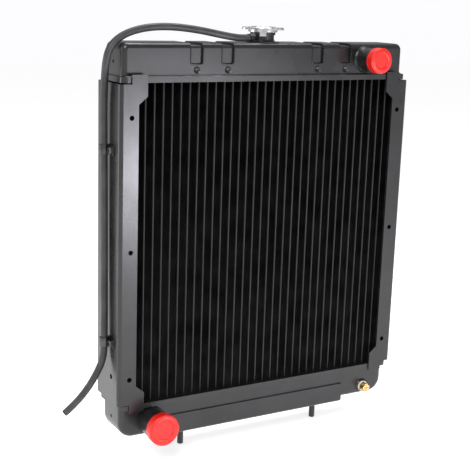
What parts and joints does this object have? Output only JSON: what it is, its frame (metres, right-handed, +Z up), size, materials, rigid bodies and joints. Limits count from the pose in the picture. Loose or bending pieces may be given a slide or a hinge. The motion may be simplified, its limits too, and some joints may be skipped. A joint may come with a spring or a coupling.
{
  "type": "car radiator",
  "caption": "Upright tube-and-fin radiator with pressed tanks, channel side plates, filler neck, pressure cap, overflow hose, drain cock, foot channel and plugged hose tubes.",
  "frame": {"origin": "underside of the foot channel, midway between the two locating pins", "axes": "+Z up, -Y towards the face that carries both hose tubes, +X towards the drain cock's side"},
  "size_m": [0.5069, 0.1094, 0.5881],
  "materials": {
    "black_paint": "satin black paint",
    "core_paint": "thin matt black paint",
    "red_plastic": "semi-gloss",
    "zinc": "bright zinc plated",
    "spring_steel": "plain",
    "black_steel": "black oxide",
    "rubber": "matt",
    "nylon": "natural",
    "brass": "turned"
  },
  "bodies": {
    "radiator": {"clip_nuts": "black_steel", "clip_screws": "black_steel", "core_fins": "core_paint", "core_tubes": "core_paint", "drain_body": "brass", "drain_boss": "black_paint", "drain_washer": "nylon", "filler_neck": "black_paint", "foot_channel": "black_paint", "hose_spring_clamp": "black_steel", "inlet_tube": "black_paint", "left_side_plate": "black_paint", "locating_pins": "black_paint", "lower_clip_cushion": "rubber", "lower_header_plate": "black_paint", "lower_hose_clip": "black_steel", "lower_solder_bead": "black_paint", "lower_tank": "black_paint", "neck_base_ring": "black_paint", "outlet_tube": "black_paint", "overflow_hose": "rubber", "overflow_nipple": "black_paint", "right_side_plate": "black_paint", "upper_clip_cushion": "rubber", "upper_header_plate": "black_paint", "upper_hose_clip": "black_steel", "upper_solder_bead": "black_paint", "upper_tank": "black_paint"},
    "cap": {"cap_shell": "zinc", "cap_friction_disc": "zinc", "cap_rivet": "zinc", "cap_gasket": "rubber", "pressure_spring": "spring_steel"},
    "pressure_valve": {"pressure_valve_plate": "zinc", "pressure_valve_seal": "rubber", "vacuum_spring": "spring_steel"},
    "vacuum_valve": {"vacuum_valve": "zinc"},
    "inlet_cap": {"inlet_transit_cap": "red_plastic"},
    "outlet_cap": {"outlet_transit_cap": "red_plastic"},
    "drain_plunger": {"drain_seal": "rubber"},
    "drain_screw": {"drain_stem": "brass", "drain_knob": "brass"}
  },
  "joints": [
    {"name": "cap_turn", "type": "hinge", "parent": "radiator", "child": "cap", "pos_m": [0, 0, 0.55], "axis": [0, 0, 1], "range_deg": [0, 90]},
    {"name": "pressure_valve_lift", "type": "slide", "parent": "cap", "child": "pressure_valve", "axis": [0, 0, 1], "range_m": [0, 0.003], "stiffness_N_per_m": 2000, "deforming": ["pressure_spring"]},
    {"name": "vacuum_valve_drop", "type": "slide", "parent": "pressure_valve", "child": "vacuum_valve", "axis": [0, 0, -1], "range_m": [0, 0.0015], "stiffness_N_per_m": 300, "deforming": ["vacuum_spring"]},
    {"name": "inlet_cap_pull", "type": "slide", "parent": "radiator", "child": "inlet_cap", "axis": [0, -1, 0], "range_m": [0, 0.03]},
    {"name": "outlet_cap_pull", "type": "slide", "parent": "radiator", "child": "outlet_cap", "axis": [0, -1, 0], "range_m": [0, 0.03]},
    {"name": "drain_travel", "type": "slide", "parent": "radiator", "child": "drain_plunger", "axis": [0, -1, 0], "range_m": [0, 0.0026]},
    {"name": "drain_turn", "type": "hinge", "parent": "drain_plunger", "child": "drain_screw", "pos_m": [0.182, -0.03, 0.0195], "axis": [0, -1, 0], "range_deg": [0, 720]}
  ],
  "couplings": [
    {"joint": "drain_travel", "follows": "drain_turn", "m_per_rad": 0.00019894}
  ]
}
